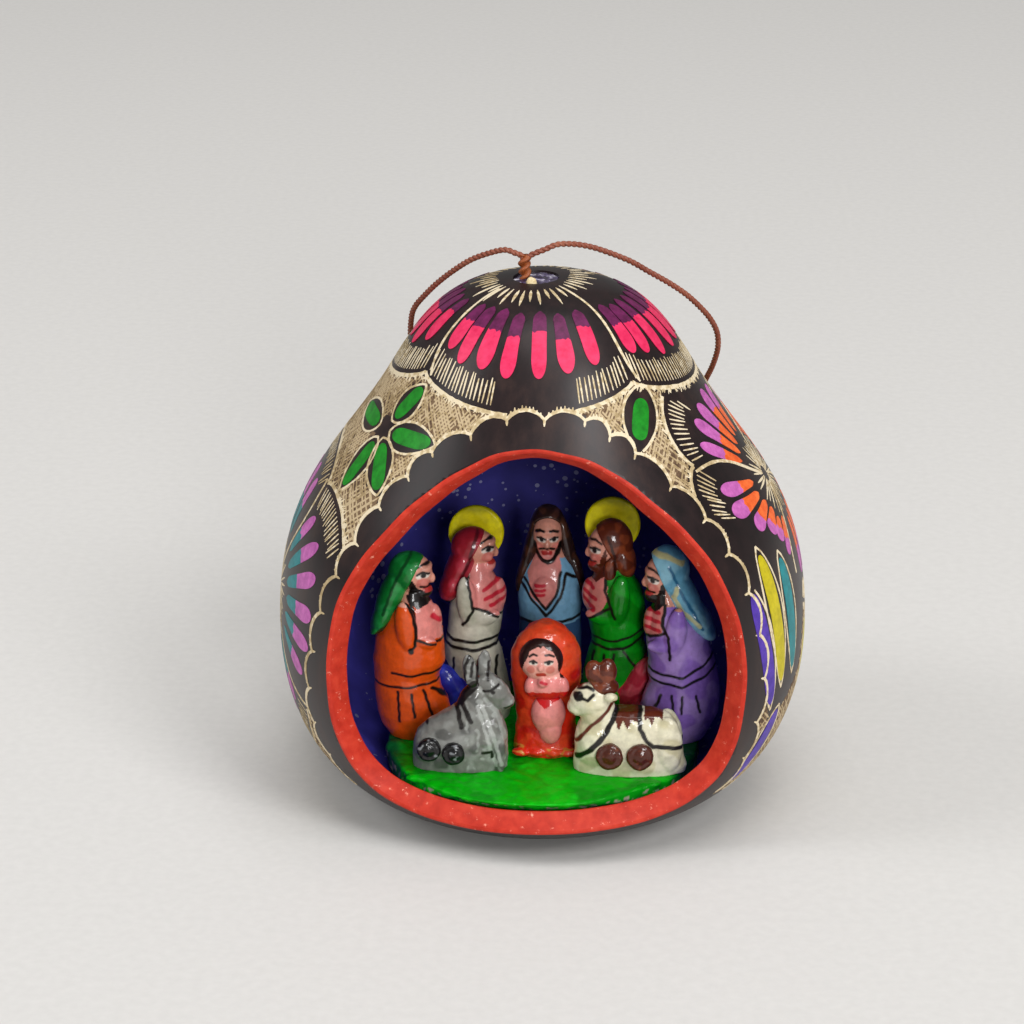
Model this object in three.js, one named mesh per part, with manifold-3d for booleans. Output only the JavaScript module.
// Dried gourd, carved and dyed outside, cut open in front, with a small clay crib scene glued
// inside it and a twisted cord to hang it by. Millimetres, +Z up. The origin is the middle of
// the flat foot, and the opening faces -Y.
import * as THREE from 'three';
import { mergeVertices } from 'three/addons/utils/BufferGeometryUtils.js';
import Module from 'manifold-3d';

const wasm = await Module();
wasm.setup();

// Gourd shell, a turned profile from the flat foot over the belly and shoulder to the crown
const GOURD_HEIGHT = 74.5;
const FOOT_RADIUS = 15;
const BELLY_RADIUS = 36.8;
const BELLY_HEIGHT = 25.2;
const SHOULDER_RADIUS = 21.4;
const SHOULDER_DROP = 13.7;
const SHOULDER_LEAN_DEG = 30.8;
const WALL = 3.3;

// Opening, cut square to the wall, measured round the gourd and up from the foot
const NICHE_HALF_ANGLE_DEG = 49.5;
const NICHE_SILL = 5;
const NICHE_WIDEST = 25;
const NICHE_TOP_DROP = 17;

// Ground slab under the figures
const SLAB_TOP = 8.5;
const SLAB_HALF_WIDTH = 22;
const SLAB_BACK = 14;
const SLAB_CORNER = 6;

// The figures are modelled for a floor and a headroom of these sizes, and are made to fit the gourd
const SCENE_RADIUS = 27.8;
const SCENE_HEADROOM = 52.3;

// Glue line between pieces that touch
const GAP = 0.3;

// Robed figures: robe, head, and the clay sheet laid over the head
const ROBE_HEIGHT = 20.4;
const TALL_ROBE_HEIGHT = 22.3;
const ROBE_DEPTH = 10;
const ROBE_WIDTH = 8.4;
const HEAD_HEIGHT = 7.8;
const HEAD_DEPTH = 5.2;
const HEAD_WIDTH = 4.6;
const CLOTH = 0.9;
const HALO_RADIUS = 3.9;
const HALO_THICKNESS = 1;

// Hooded crib and the child on it
const CRIB_HEIGHT = 18.6;
const CRIB_WIDTH = 10.4;
const CRIB_DEPTH = 6;
const CHILD_HEAD_HEIGHT = 5.8;
const CHILD_WIDTH = 5.2;
const CHILD_DEPTH = 3.2;

// Lying animals
const DONKEY_LENGTH = 13.4;
const DONKEY_WIDTH = 5.8;
const DONKEY_BACK = 8.6;
const DONKEY_HEAD = 11.4;
const OX_LENGTH = 16;
const OX_WIDTH = 6.2;
const OX_BACK = 9.6;
const OX_HEAD = 11;
const HOOF_RADIUS = 1.7;

// Half sizes of the small lumps of clay: forwards, sideways and up
const NOSE = [0.7, 0.5, 0.9];
const HANDS = [1.4, 1.6, 2.6];
const UPPER_ARM = [1.6, 1, 3.6];
const FOREARM = [2.6, 1, 1.2];
const DONKEY_EAR = [0.7, 0.6, 2.4];
const OX_EAR = [0.7, 1, 0.7];
const OX_POLL = [1.8, 1.3, 2];

// Where each group stands on the ground: right, back, and the way it faces in degrees
const LEFT_SHEPHERD_PLACE = [-18.2, -4.4, -6];
const MOTHER_PLACE = [-9.6, 2, 0];
const CENTRE_SHEPHERD_PLACE = [0.9, 7.4, -90];
const FATHER_PLACE = [10, 2, 180];
const RIGHT_SHEPHERD_PLACE = [19.8, -4, 184];
const CRIB_PLACE = [0.9, -9.6, -90];
const DONKEY_PLACE = [-10.9, -15.4, 0];
const OX_PLACE = [12.8, -15.4, 180];

// Hanging cord, its twisted stalk and the stick that stops it under the crown
const CORD_DIAMETER = 1;
const STALK_DIAMETER = 1.9;
const STALK_RISE = 3.2;
const STALK_X = -2.5;
const HOLE_X = -1;
const HOLE_RADIUS = 3;
const STICK_LENGTH = 12;
const STICK_RADIUS = 0.9;

// Faceting
const GOURD_SIDES = 36;
const ROBE_SIDES = 14;
const CORD_SIDES = 8;
const CORD_STEPS = 66;

const rad = THREE.MathUtils.degToRad;
const shoulderHeight = GOURD_HEIGHT - SHOULDER_DROP;
const nicheTop = GOURD_HEIGHT - NICHE_TOP_DROP;

// Closed solid for joining and cutting, from any closed geometry
function solid(geometry) {
  const bare = geometry.clone();
  bare.deleteAttribute('normal');
  bare.deleteAttribute('uv');
  const merged = mergeVertices(bare, 1e-4);
  const corners = merged.index.array;
  const faces = [];
  for (let i = 0; i < corners.length; i += 3) {
    const [a, b, c] = corners.slice(i, i + 3);
    if (a !== b && b !== c && c !== a) faces.push(a, b, c);
  }
  const vertProperties = new Float32Array(merged.attributes.position.array);
  return new wasm.Manifold(new wasm.Mesh({ numProp: 3, vertProperties, triVerts: new Uint32Array(faces) }));
}

const joined = (shapes) => shapes.reduce((whole, shape) => whole.add(shape));

// Named mesh of a finished solid, with its colour
function piece(name, shape, color, roughness = 0.35) {
  const { vertProperties, triVerts } = shape.getMesh();
  const geometry = new THREE.BufferGeometry();
  geometry.setAttribute('position', new THREE.BufferAttribute(new Float32Array(vertProperties), 3));
  geometry.setIndex(new THREE.BufferAttribute(new Uint32Array(triVerts), 1));
  geometry.computeVertexNormals();
  const mesh = new THREE.Mesh(geometry, new THREE.MeshStandardMaterial({ color, roughness, metalness: 0 }));
  mesh.name = name;
  return mesh;
}

// Closed skin over a stack of rings that run anticlockwise, seen from the last ring
function loft(rings) {
  const count = rings[0].length;
  const middle = (ring) => ring.reduce((sum, p) => sum.add(p), new THREE.Vector3()).divideScalar(count);
  const places = [...rings.flat(), middle(rings[0]), middle(rings.at(-1))];
  const faces = [];
  for (let ring = 0; ring < rings.length; ring += 1) {
    for (let i = 0; i < count; i += 1) {
      const here = ring * count + i;
      const next = ring * count + ((i + 1) % count);
      if (ring === 0) faces.push(places.length - 2, next, here);
      if (ring === rings.length - 1) faces.push(places.length - 1, here, next);
      else faces.push(here, next, next + count, here, next + count, here + count);
    }
  }
  return solid(new THREE.BufferGeometry().setFromPoints(places).setIndex(faces));
}

// Level oval ring of a figure that faces +X
function oval(height, middleX, halfDepth, halfWidth) {
  return Array.from({ length: ROBE_SIDES }, (_, i) => {
    const turn = (2 * Math.PI * i) / ROBE_SIDES;
    return new THREE.Vector3(middleX + halfDepth * Math.cos(turn), halfWidth * Math.sin(turn), height);
  });
}

// Rounded lump from its half sizes and its middle, nodding forwards and then turned about Z
function lump(halfSizes, middle, { nod = 0, turn = 0, sides = 8, grow = 0 } = {}) {
  const geometry = new THREE.SphereGeometry(1, sides, Math.round(0.7 * sides)).rotateX(Math.PI / 2);
  geometry.scale(...halfSizes.map((half) => half + grow));
  geometry.rotateY(rad(nod)).rotateZ(rad(turn)).translate(...middle);
  return solid(geometry);
}

// Solid turned about Z from a profile of radius and height
const turned = (points, sides) => solid(new THREE.LatheGeometry(points, sides).rotateX(Math.PI / 2));

// Three smooth stretches of the gourd's skin, each with its count of steps
function skinCurves() {
  const at = (radius, height) => new THREE.Vector2(radius, height);
  const lean = new THREE.Vector2(-Math.sin(rad(SHOULDER_LEAN_DEG)), Math.cos(rad(SHOULDER_LEAN_DEG)));
  const belly = at(BELLY_RADIUS, BELLY_HEIGHT);
  const shoulder = at(SHOULDER_RADIUS, shoulderHeight);
  const rise = shoulderHeight - BELLY_HEIGHT;
  const footSwell = at(FOOT_RADIUS + 0.53 * (BELLY_RADIUS - FOOT_RADIUS), 0);
  const crownTurn = at(SHOULDER_RADIUS - SHOULDER_DROP * Math.tan(rad(SHOULDER_LEAN_DEG)), GOURD_HEIGHT);
  return [
    [new THREE.CubicBezierCurve(at(FOOT_RADIUS, 0), footSwell,
      at(BELLY_RADIUS, 0.29 * BELLY_HEIGHT), belly), 7],
    [new THREE.CubicBezierCurve(belly, at(BELLY_RADIUS, BELLY_HEIGHT + 0.53 * rise),
      shoulder.clone().addScaledVector(lean, -0.39 * rise), shoulder), 7],
    [new THREE.CubicBezierCurve(shoulder, shoulder.clone().addScaledVector(lean, 0.7 * SHOULDER_DROP),
      crownTurn, at(0, GOURD_HEIGHT)), 6],
  ];
}

// Profile from axis to axis, moved in from the skin by a depth, with finer steps where asked
function profileAt(depth, fineness = 1) {
  const points = [new THREE.Vector2(0, depth)];
  skinCurves().forEach(([curve, count], stretch) => {
    const steps = count * fineness;
    for (let step = stretch ? 1 : 0; step <= steps; step += 1) {
      const place = curve.getPoint(step / steps);
      const along = curve.getTangent(step / steps);
      points.push(new THREE.Vector2(place.x - depth * along.y, place.y + depth * along.x));
    }
  });
  points.at(-1).x = 0;
  return points;
}

// Radius of a profile and the upward slope of its normal at a height
function profileWhere(points, height) {
  let index = 2;
  while (index < points.length - 1 && points[index].y < height) index += 1;
  const low = points[index - 1];
  const high = points[index];
  const share = (height - low.y) / (high.y - low.y);
  return { radius: low.x + share * (high.x - low.x), slope: Math.atan2(low.x - high.x, high.y - low.y) };
}

// Height of a profile's upper end at a radius
function crownWhere(points, radius) {
  let index = points.length - 1;
  while (points[index].x < radius) index -= 1;
  const out = points[index];
  const nearer = points[index + 1];
  return out.y + (nearer.y - out.y) * (out.x - radius) / (out.x - nearer.x);
}

const skin = profileAt(0);
const cavity = profileAt(WALL);
const groundLine = profileAt(WALL + GAP);

// Outline of the opening as azimuth and height, anticlockwise seen from the front
function nicheOutline() {
  const half = rad(NICHE_HALF_ANGLE_DEG);
  const at = (turn, height) => new THREE.Vector2(turn * half, height);
  const arch = new THREE.CubicBezierCurve(at(0, nicheTop), at(0.65, nicheTop),
    at(1, NICHE_WIDEST + 0.57 * (nicheTop - NICHE_WIDEST)), at(1, NICHE_WIDEST));
  const sill = new THREE.CubicBezierCurve(at(1, NICHE_WIDEST),
    at(1, NICHE_WIDEST - 0.86 * (NICHE_WIDEST - NICHE_SILL)), at(0.9, NICHE_SILL), at(0, NICHE_SILL));
  const right = [...arch.getPoints(9), ...sill.getPoints(8).slice(1)];
  const left = right.map(({ x, y }) => new THREE.Vector2(-x, y));
  return [...left, ...right.slice(1, -1).reverse()];
}

// Plug of gourd wall that is taken out for the opening, with its sides square to the skin
function nichePlug() {
  const reach = WALL + 1;
  const outline = nicheOutline();
  const smoothSkin = profileAt(0, 8);
  const ringAt = (depth) => outline.map(({ x: turn, y: height }) => {
    const { radius, slope } = profileWhere(smoothSkin, height);
    const out = radius - depth * Math.cos(slope);
    return new THREE.Vector3(out * Math.sin(turn), -out * Math.cos(turn), height - depth * Math.sin(slope));
  });
  const closeTo = (ring, y) => ring.map((place) => place.clone().lerp(
    new THREE.Vector3(0, y, (nicheTop + NICHE_SILL) / 2), 0.95));
  const inside = ringAt(WALL + reach);
  const outside = ringAt(-reach);
  return loft([closeTo(inside, -BELLY_RADIUS / 4), inside, outside, closeTo(outside, -2 * BELLY_RADIUS)]);
}

function upright(radius, low, high, x) {
  const geometry = new THREE.CylinderGeometry(radius, radius, high - low, 16).rotateX(Math.PI / 2);
  return solid(geometry.translate(x, 0, (low + high) / 2));
}

function gourdShell() {
  const hole = upright(HOLE_RADIUS, GOURD_HEIGHT - 2 * WALL, GOURD_HEIGHT + WALL, HOLE_X);
  const shell = turned(skin, GOURD_SIDES).subtract(turned(cavity, GOURD_SIDES));
  return piece('gourd_shell', shell.subtract(nichePlug()).subtract(hole), 0x33272a, 0.45);
}

// Flat-topped ground that fills the bottom of the cavity, cut straight at its sides and back
function groundSlab() {
  const edge = profileWhere(groundLine, SLAB_TOP).radius;
  const under = groundLine.filter(({ y }, i) => y < SLAB_TOP && i < groundLine.length / 2);
  const over = [new THREE.Vector2(edge, SLAB_TOP), new THREE.Vector2(0, SLAB_TOP)];
  const filled = turned([...under, ...over], GOURD_SIDES);
  const plan = new THREE.Shape();
  plan.moveTo(-SLAB_HALF_WIDTH, -2 * BELLY_RADIUS);
  plan.lineTo(SLAB_HALF_WIDTH, -2 * BELLY_RADIUS);
  plan.absarc(SLAB_HALF_WIDTH - SLAB_CORNER, SLAB_BACK - SLAB_CORNER, SLAB_CORNER, 0, Math.PI / 2);
  plan.absarc(SLAB_CORNER - SLAB_HALF_WIDTH, SLAB_BACK - SLAB_CORNER, SLAB_CORNER, Math.PI / 2, Math.PI);
  const upwards = { depth: 2 * SLAB_TOP, bevelEnabled: false, curveSegments: 6 };
  const column = new THREE.ExtrudeGeometry(plan, upwards);
  return piece('ground_slab', filled.intersect(solid(column)), 0x0a9010);
}

// Robe from hem to neck: height, lean, depth and width, as parts of the robe's sizes
const ROBE_LINE = [
  [0, 0, 0.76, 0.8],
  [0.05, 0, 0.92, 0.94],
  [0.2, 0, 1, 1],
  [0.4, -0.02, 0.87, 0.9],
  [0.48, -0.02, 0.86, 0.9],
  [0.62, 0.01, 0.95, 1],
  [0.78, 0, 0.86, 0.96],
  [0.91, -0.03, 0.6, 0.78],
  [1, -0.05, 0.38, 0.44],
];

const headMiddle = (robe) => [-0.04 * ROBE_DEPTH, 0, robe + 0.4 * HEAD_HEIGHT];

// Robed body with its head, folded arms and hands, or the same grown all round to cut a neighbour
function robedBody(robe, grow = 0) {
  const rings = ROBE_LINE.map(([up, lean, depth, width]) => oval(up * (robe + 2 * grow) - grow,
    lean * ROBE_DEPTH, depth * ROBE_DEPTH / 2 + grow, width * ROBE_WIDTH / 2 + grow));
  const [x, , z] = headMiddle(robe);
  const shapes = [
    loft(rings),
    lump([HEAD_DEPTH / 2, HEAD_WIDTH / 2, HEAD_HEIGHT / 2], [x, 0, z], { sides: 12, grow }),
    lump(NOSE, [x + HEAD_DEPTH / 2, 0, z], { sides: 6, grow }),
    lump(HANDS, [0.36 * ROBE_DEPTH, 0, 0.75 * robe], { nod: -15, grow }),
  ];
  for (const side of [-1, 1]) {
    shapes.push(lump(UPPER_ARM, [0, side * 0.44 * ROBE_WIDTH, 0.72 * robe], { grow }));
    shapes.push(lump(FOREARM, [0.24 * ROBE_DEPTH, side * 0.3 * ROBE_WIDTH, 0.63 * robe],
      { nod: -15, turn: -25 * side, grow }));
  }
  return joined(shapes);
}

// Cloth or hair over the head that falls down the back to a height, open at the face
function headCover(robe, tailEnd, spread) {
  const [x, , z] = headMiddle(robe);
  const cap = lump([HEAD_DEPTH / 2 + CLOTH, HEAD_WIDTH / 2 + CLOTH, HEAD_HEIGHT / 2 + CLOTH],
    [x - 0.4 * CLOTH, 0, z], { sides: 12 });
  const tail = loft([
    oval(tailEnd * robe, -0.36 * ROBE_DEPTH, 0.12 * ROBE_DEPTH + CLOTH, 0.7 * spread),
    oval((tailEnd + 0.04) * robe, -0.36 * ROBE_DEPTH, 0.14 * ROBE_DEPTH + CLOTH, 0.9 * spread),
    oval(0.86 * robe, -0.28 * ROBE_DEPTH, 0.17 * ROBE_DEPTH + CLOTH, spread),
    oval(robe, -0.14 * ROBE_DEPTH, 0.2 * ROBE_DEPTH + CLOTH, 0.8 * spread),
    oval(z, x - CLOTH, 0.42 * HEAD_DEPTH + CLOTH, HEAD_WIDTH / 2 + 0.9 * CLOTH),
  ]);
  const brow = z + 0.2 * HEAD_HEIGHT;
  const face = new THREE.BoxGeometry(ROBE_DEPTH, 2 * ROBE_WIDTH, brow);
  face.translate(x + ROBE_DEPTH / 2, 0, brow / 2);
  return cap.add(tail).subtract(robedBody(robe, GAP)).subtract(solid(face));
}

// Round plate behind the head, on the side away from the viewer
function halo(robe, side, lift) {
  const half = HALO_THICKNESS / 2;
  const flat = HALO_RADIUS - half;
  const line = [[0, -half], [flat, -half], [HALO_RADIUS, 0], [flat, half], [0, half]];
  const plate = new THREE.LatheGeometry(line.map((place) => new THREE.Vector2(...place)), 24);
  const [x, , z] = headMiddle(robe);
  return solid(plate.translate(x, side * (HEAD_WIDTH / 2 + CLOTH + GAP + half), z + lift * HEAD_HEIGHT));
}

// Cape that falls from the belt and spreads on the ground behind a robe
function cape(robe) {
  const hem = loft([
    oval(0, -0.42 * ROBE_DEPTH, 0.24 * ROBE_DEPTH, 0.36 * ROBE_WIDTH),
    oval(0.2 * robe, -0.4 * ROBE_DEPTH, 0.24 * ROBE_DEPTH, 0.38 * ROBE_WIDTH),
    oval(0.48 * robe, -0.36 * ROBE_DEPTH, 0.17 * ROBE_DEPTH, 0.3 * ROBE_WIDTH),
  ]);
  return hem.subtract(robedBody(robe, GAP));
}

// Child with head, body and legs, lying against the front of the crib
function child(grow = 0) {
  const front = 0.4 * CRIB_DEPTH;
  const head = CHILD_HEAD_HEIGHT / 2;
  return joined([
    lump([0.66 * head, 0.9 * head, head], [front - 0.12 * CHILD_DEPTH, 0, 0.68 * CRIB_HEIGHT],
      { sides: 12, grow }),
    lump([CHILD_DEPTH / 2, CHILD_WIDTH / 2, 0.14 * CRIB_HEIGHT],
      [front + 0.06 * CHILD_DEPTH, 0, 0.47 * CRIB_HEIGHT], { grow }),
    lump([0.47 * CHILD_DEPTH, 0.37 * CHILD_WIDTH, 0.17 * CRIB_HEIGHT],
      [front + 0.09 * CHILD_DEPTH, 0, 0.28 * CRIB_HEIGHT], { grow }),
  ]);
}

// Upright hooded crib from its foot to its peak: height, lean, depth and width, as parts of its sizes
const CRIB_LINE = [
  [0, 0, 1, 0.84],
  [0.08, 0, 1, 0.8],
  [0.35, -0.02, 0.95, 0.88],
  [0.6, -0.08, 0.9, 1],
  [0.8, -0.14, 0.8, 0.95],
  [0.93, -0.2, 0.6, 0.64],
  [1, -0.23, 0.3, 0.24],
];

function crib() {
  return loft(CRIB_LINE.map(([up, lean, depth, width]) => oval(up * CRIB_HEIGHT, lean * CRIB_DEPTH,
    depth * CRIB_DEPTH / 2, width * CRIB_WIDTH / 2))).subtract(child(GAP));
}

// Animal lying with its legs folded, head raised: trunk, neck, head and ears
function beast({ length, width, back, head, ear }, grow = 0) {
  const trunk = loft([
    oval(-grow, 0, 0.48 * length + grow, 0.47 * width + grow),
    oval(0.25 * back, 0, 0.5 * length + grow, 0.5 * width + grow),
    oval(0.6 * back, -0.05 * length, 0.44 * length + grow, 0.47 * width + grow),
    oval(0.9 * back, -0.1 * length, 0.3 * length + grow, 0.34 * width + grow),
    oval(back + grow, -0.12 * length, 0.16 * length + grow, 0.15 * width + grow),
  ]);
  const shapes = [
    trunk,
    lump([0.19 * length, 0.42 * width, 0.5 * head], [0.26 * length, 0, 0.55 * head],
      { nod: 8, sides: 12, grow }),
    lump([0.23 * length, 0.33 * width, 0.16 * length], [0.33 * length, 0, head],
      { nod: 25, sides: 12, grow }),
  ];
  for (const side of [-1, 1]) {
    shapes.push(lump(ear, [0.19 * length, side * 0.26 * width, head + 0.11 * length + 0.6 * ear[2]],
      { nod: -8, sides: 8, grow }));
  }
  return joined(shapes);
}

// Round hoof pressed on the side of an animal
function hoof(animal, forward, side) {
  const { length, width } = animal;
  const dab = lump([HOOF_RADIUS, 0.62 * HOOF_RADIUS, HOOF_RADIUS],
    [forward * length, side * 0.5 * width, 1.5 * HOOF_RADIUS]);
  return dab.subtract(beast(animal, GAP));
}

const DONKEY = {
  length: DONKEY_LENGTH, width: DONKEY_WIDTH, back: DONKEY_BACK, head: DONKEY_HEAD, ear: DONKEY_EAR,
};
const OX = { length: OX_LENGTH, width: OX_WIDTH, back: OX_BACK, head: OX_HEAD, ear: OX_EAR };

function oxTuft() {
  const poll = lump(OX_POLL, [0.24 * OX_LENGTH, 0, OX_HEAD + 0.16 * OX_LENGTH + 0.6]);
  return poll.subtract(beast(OX, GAP));
}

// Group of pieces that stands on the ground, turned to face a way
function standing([x, y, facingDeg], pieces) {
  const group = new THREE.Group().add(...pieces);
  group.position.set(x, y, 0);
  group.rotation.z = rad(facingDeg);
  return group;
}

function crowd() {
  const low = ROBE_HEIGHT;
  const tall = TALL_ROBE_HEIGHT;
  const group = new THREE.Group().add(
    standing(LEFT_SHEPHERD_PLACE, [
      piece('left_shepherd_body', robedBody(low), 0xd9500f),
      piece('left_shepherd_headcloth', headCover(low, 0.62, 0.4 * ROBE_WIDTH), 0x0b5a1e),
    ]),
    standing(MOTHER_PLACE, [
      piece('mother_body', robedBody(tall), 0xc9c6b4),
      piece('mother_veil', headCover(tall, 0.62, 0.38 * ROBE_WIDTH), 0xa02a30),
      piece('mother_halo', halo(tall, 1, 0.12), 0xd8c81a),
      piece('mother_cape', cape(tall), 0x1c2386),
    ]),
    standing(CENTRE_SHEPHERD_PLACE, [
      piece('centre_shepherd_body', robedBody(tall), 0x6fa0c4),
      piece('centre_shepherd_hair', headCover(tall, 0.66, 0.5 * ROBE_WIDTH), 0x33201c),
    ]),
    standing(FATHER_PLACE, [
      piece('father_body', robedBody(tall), 0x078a14),
      piece('father_hair', headCover(tall, 0.84, 0.34 * ROBE_WIDTH), 0x5a2a16),
      piece('father_halo', halo(tall, -1, 0.28), 0xd8c81a),
      piece('father_cape', cape(tall), 0x9a1c2c),
    ]),
    standing(RIGHT_SHEPHERD_PLACE, [
      piece('right_shepherd_body', robedBody(low), 0x8a63b8),
      piece('right_shepherd_headcloth', headCover(low, 0.58, 0.4 * ROBE_WIDTH), 0x5fa0c0),
    ]),
    standing(CRIB_PLACE, [
      piece('crib_hood', crib(), 0xe0301c),
      piece('child_body', child(), 0xd98088),
    ]),
    standing(DONKEY_PLACE, [
      piece('donkey_body', beast(DONKEY), 0x8e8c84),
      piece('donkey_rear_hoof', hoof(DONKEY, -0.32, -1), 0x1c1a1a),
      piece('donkey_front_hoof', hoof(DONKEY, -0.05, -1), 0x1c1a1a),
    ]),
    standing(OX_PLACE, [
      piece('ox_body', beast(OX), 0xe8e4cc),
      piece('ox_tuft', oxTuft(), 0x5e2412),
      piece('ox_front_hoof', hoof(OX, 0.13, 1), 0x5e2412),
      piece('ox_rear_hoof', hoof(OX, -0.13, 1), 0x5e2412),
    ]),
  );
  const floor = profileWhere(groundLine, SLAB_TOP).radius / SCENE_RADIUS;
  const headroom = (shoulderHeight - SLAB_TOP) / SCENE_HEADROOM;
  group.position.z = SLAB_TOP + GAP;
  group.scale.setScalar(Math.min(floor, headroom));
  return group;
}

// Route of the loop from the top of the stalk round behind the gourd and back, measured from the crown
const LOOP_ROUTE = [
  [-3.8, 0, 3.2], [-5.2, 0.5, 3.5], [-7.2, 1.5, 2.8], [-10, 3, 1.3], [-12.7, 5, -1], [-14.9, 7, -3.3],
  [-16.8, 9, -5.7], [-18.3, 11, -8], [-19, 13, -10.4], [-19.3, 16, -14.5], [-18.8, 20.5, -20],
  [-17, 26.8, -26.5], [-13, 32.2, -32], [-7, 36.3, -37], [0, 38, -39], [7.5, 37, -37.5], [14, 33.2, -33],
  [19, 28, -28], [21.8, 22.8, -23.5], [22.9, 18.6, -20], [23.6, 16.2, -17.4], [24.1, 14, -14.4],
  [23.9, 12.2, -11.6], [22.9, 10.5, -9.1], [21.4, 9, -6.9], [19.5, 7.5, -4.7], [17.1, 6, -2.6],
  [14.2, 4.5, -0.5], [11.2, 3, 1.6], [6.2, 1.5, 3.8], [2.3, 0.5, 4.4], [0.1, 0.1, 3.7], [-1.2, 0, 3.2],
];

function tube(route, diameter, steps) {
  const ring = Array.from({ length: CORD_SIDES }, (_, i) => {
    const turn = (2 * Math.PI * i) / CORD_SIDES;
    return new THREE.Vector2(diameter / 2 * Math.cos(turn), diameter / 2 * Math.sin(turn));
  });
  const extrudePath = new THREE.CatmullRomCurve3(route);
  return solid(new THREE.ExtrudeGeometry(new THREE.Shape(ring), { steps, extrudePath }));
}

function hanger() {
  const stickTop = crownWhere(cavity, Math.hypot(STICK_LENGTH / 2 + Math.abs(HOLE_X), STICK_RADIUS)) - GAP;
  const stick = new THREE.CylinderGeometry(STICK_RADIUS, STICK_RADIUS, STICK_LENGTH, 10).rotateZ(Math.PI / 2);
  stick.translate(HOLE_X, 0, stickTop - STICK_RADIUS - GOURD_HEIGHT);
  const stalk = upright(STALK_DIAMETER / 2, stickTop + GAP - GOURD_HEIGHT, STALK_RISE, STALK_X);
  const loop = LOOP_ROUTE.map((place) => new THREE.Vector3(...place));
  const group = new THREE.Group().add(
    piece('cord_stick', solid(stick), 0xc9b083, 0.8),
    piece('cord_stalk', stalk, 0xa4562c, 0.7),
    piece('hanging_cord', tube(loop, CORD_DIAMETER, CORD_STEPS), 0x8a4426, 0.7),
  );
  group.position.z = GOURD_HEIGHT;
  return group;
}

export default new THREE.Group().add(gourdShell(), groundSlab(), crowd(), hanger());
